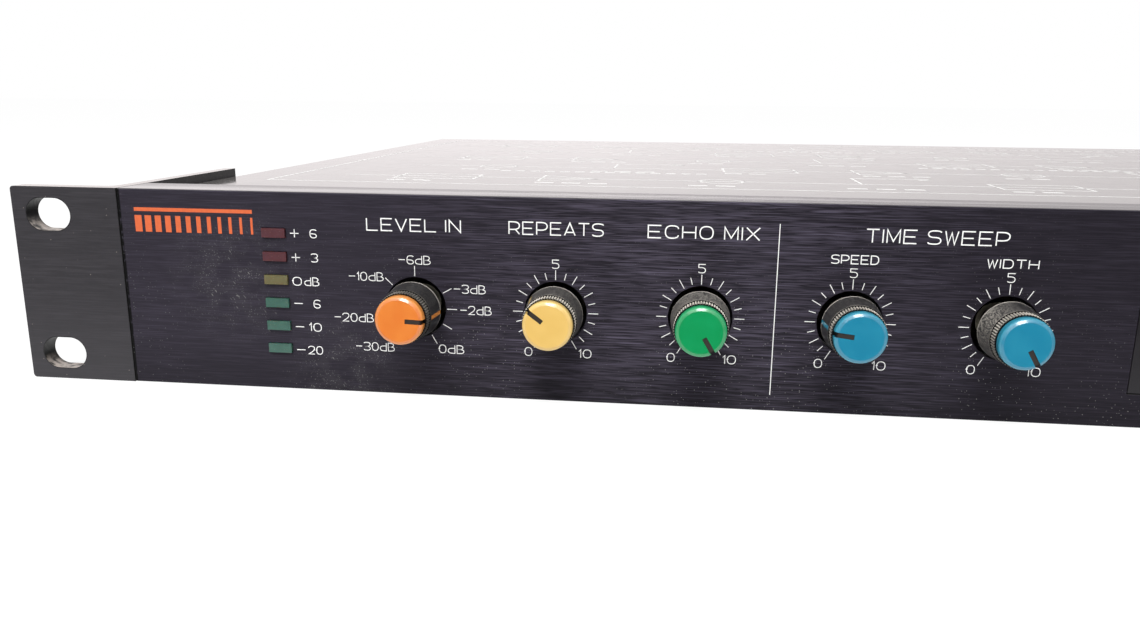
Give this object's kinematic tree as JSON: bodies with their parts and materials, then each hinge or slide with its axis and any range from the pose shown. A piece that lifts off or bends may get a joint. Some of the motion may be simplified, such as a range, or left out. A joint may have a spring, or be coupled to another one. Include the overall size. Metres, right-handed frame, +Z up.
{
  "type": "rackmount digital delay",
  "caption": "Slim rackmount digital delay: lipped black panel, bolt-on slotted ears, coloured dial knobs, level lamps, key fascia with display, rear jacks and boards inside.",
  "frame": {"origin": "middle of the underside of the whole unit", "axes": "+X along the panel to the user's right, the panel faces -Y, +Z up"},
  "size_m": [0.482, 0.2958, 0.044],
  "materials": {
    "panel_black": "black anodised, brushed along its length",
    "ear_black": "black anodised, fine satin",
    "tray_steel": "black satin paint",
    "cover_black": "black satin paint",
    "screw_black": "black oxide",
    "screw_zinc": "zinc plated",
    "lamp_red": "tinted clear, unlit",
    "lamp_yellow": "tinted clear, unlit",
    "lamp_green": "tinted clear, unlit",
    "board_green": "green solder mask",
    "pot_can": "pressed steel",
    "nut_brass": "plain brass",
    "shaft_metal": "turned",
    "knob_black": "fine matt",
    "cap_orange": "smooth satin",
    "cap_yellow": "smooth satin",
    "cap_green": "smooth satin",
    "cap_blue": "smooth satin",
    "fascia_black": "fine matt",
    "window_red": "smoked red filter",
    "digits_black": "matt",
    "key_dark": "fine matt",
    "key_light": "fine matt",
    "chip_black": "moulded",
    "sleeve_blue": "shrunk sleeve",
    "fuse_white": "moulded",
    "core_steel": "laminated",
    "coil_copper": "varnished wire",
    "frame_steel": "zinc plated",
    "ribbon_grey": "flat ribbon",
    "jack_black": "moulded",
    "nut_chrome": "nickel plated"
  },
  "bodies": {
    "case": {"front_panel": "panel_black", "rack_ear_left": "ear_black", "rack_ear_right": "ear_black", "chassis_tray": "tray_steel", "top_cover": "cover_black", "case_screws": "screw_black", "inner_screws": "screw_zinc", "level_lamps_red": "lamp_red", "level_lamp_yellow": "lamp_yellow", "level_lamps_green": "lamp_green", "meter_board": "board_green", "potentiometers": "pot_can", "pot_washers": "screw_zinc", "pot_nuts": "nut_brass", "control_fascia": "fascia_black", "display_window": "window_red", "digit_module": "digits_black", "key_board": "board_green", "key_switches": "chip_black", "key_lamps": "lamp_red", "power_switch": "chip_black", "main_board": "board_green", "board_pillars": "screw_zinc", "logic_chips": "chip_black", "capacitors": "sleeve_blue", "regulators": "chip_black", "fuse_holder": "fuse_white", "transformer_core": "core_steel", "transformer_coil": "coil_copper", "transformer_frame": "frame_steel", "ribbon_cable": "ribbon_grey", "phone_jacks": "jack_black", "jack_nuts": "nut_chrome", "level_switch": "frame_steel", "cord_gland": "jack_black"},
    "input_knob": {"shaft_input": "shaft_metal", "knob_input": "knob_black", "cap_input": "cap_orange"},
    "feedback_knob": {"shaft_feedback": "shaft_metal", "knob_feedback": "knob_black", "cap_feedback": "cap_yellow"},
    "output_knob": {"shaft_output": "shaft_metal", "knob_output": "knob_black", "cap_output": "cap_green"},
    "rate_knob": {"shaft_rate": "shaft_metal", "knob_rate": "knob_black", "cap_rate": "cap_blue"},
    "depth_knob": {"shaft_depth": "shaft_metal", "knob_depth": "knob_black", "cap_depth": "cap_blue"},
    "time_down_key": {"key_time_down": "key_dark"},
    "time_up_key": {"key_time_up": "key_dark"},
    "memory_1_key": {"key_memory_1": "key_dark"},
    "memory_2_key": {"key_memory_2": "key_dark"},
    "memory_3_key": {"key_memory_3": "key_dark"},
    "memory_4_key": {"key_memory_4": "key_dark"},
    "hold_key": {"key_hold": "key_light"},
    "bypass_key": {"key_bypass": "key_light"},
    "power_button": {"power_button": "key_light"},
    "level_slider": {"level_slider": "jack_black"}
  },
  "joints": [
    {"name": "input_turn", "type": "hinge", "parent": "case", "child": "input_knob", "pos_m": [-0.1496, -0.1351, 0.0197], "axis": [0, 1, 0], "range_deg": [-242, 58]},
    {"name": "feedback_turn", "type": "hinge", "parent": "case", "child": "feedback_knob", "pos_m": [-0.1192, -0.1351, 0.0197], "axis": [0, 1, 0], "range_deg": [-97, 203]},
    {"name": "output_turn", "type": "hinge", "parent": "case", "child": "output_knob", "pos_m": [-0.0888, -0.1351, 0.0197], "axis": [0, 1, 0], "range_deg": [-299, 1]},
    {"name": "rate_turn", "type": "hinge", "parent": "case", "child": "rate_knob", "pos_m": [-0.0584, -0.1351, 0.0197], "axis": [0, 1, 0], "range_deg": [-67, 233]},
    {"name": "depth_turn", "type": "hinge", "parent": "case", "child": "depth_knob", "pos_m": [-0.028, -0.1351, 0.0197], "axis": [0, 1, 0], "range_deg": [-300, 0]},
    {"name": "time_down_press", "type": "slide", "parent": "case", "child": "time_down_key", "axis": [0, 1, 0], "range_m": [0, 0.0008], "stiffness_N_per_m": 600},
    {"name": "time_up_press", "type": "slide", "parent": "case", "child": "time_up_key", "axis": [0, 1, 0], "range_m": [0, 0.0008], "stiffness_N_per_m": 600},
    {"name": "memory_1_press", "type": "slide", "parent": "case", "child": "memory_1_key", "axis": [0, 1, 0], "range_m": [0, 0.0008], "stiffness_N_per_m": 600},
    {"name": "memory_2_press", "type": "slide", "parent": "case", "child": "memory_2_key", "axis": [0, 1, 0], "range_m": [0, 0.0008], "stiffness_N_per_m": 600},
    {"name": "memory_3_press", "type": "slide", "parent": "case", "child": "memory_3_key", "axis": [0, 1, 0], "range_m": [0, 0.0008], "stiffness_N_per_m": 600},
    {"name": "memory_4_press", "type": "slide", "parent": "case", "child": "memory_4_key", "axis": [0, 1, 0], "range_m": [0, 0.0008], "stiffness_N_per_m": 600},
    {"name": "hold_press", "type": "slide", "parent": "case", "child": "hold_key", "axis": [0, 1, 0], "range_m": [0, 0.0008], "stiffness_N_per_m": 600},
    {"name": "bypass_press", "type": "slide", "parent": "case", "child": "bypass_key", "axis": [0, 1, 0], "range_m": [0, 0.0008], "stiffness_N_per_m": 600},
    {"name": "power_press", "type": "slide", "parent": "case", "child": "power_button", "axis": [0, 1, 0], "range_m": [0, 0.003], "stiffness_N_per_m": 400},
    {"name": "level_slide", "type": "slide", "parent": "case", "child": "level_slider", "axis": [1, 0, 0], "range_m": [0, 0.004]}
  ]
}
